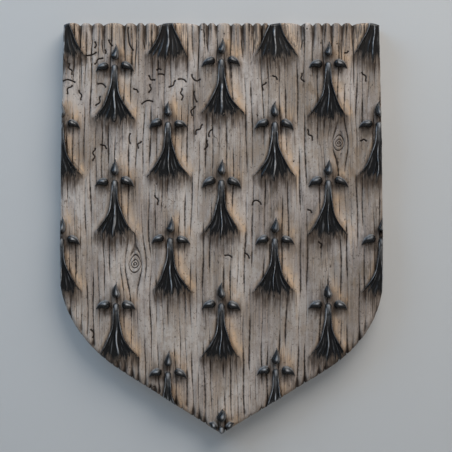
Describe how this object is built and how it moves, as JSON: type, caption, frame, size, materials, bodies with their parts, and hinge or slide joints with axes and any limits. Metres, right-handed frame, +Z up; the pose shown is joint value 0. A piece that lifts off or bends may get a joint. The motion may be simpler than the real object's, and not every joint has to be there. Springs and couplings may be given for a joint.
{
  "type": "heater shield wall plaque",
  "caption": "Flat-backed heater shield plaque with raised ermine spots on carved wood grain and a scalloped top edge, painted in grey beige, black and ochre.",
  "frame": {"origin": "centre of the flat back, half way up and half way across, where the plaque meets the wall", "axes": "+Z up the shield, +Y out of the back into the wall, +X to the viewer's right; the carved face looks along -Y"},
  "size_m": [0.2002, 0.0167, 0.255],
  "materials": {
    "painted_resin": "cast resin painted grey beige with a brown wash in the grain, ochre stains and near-black spots dry-brushed with silver grey"
  },
  "bodies": {
    "root": {"shield": "painted_resin"}
  },
  "joints": []
}
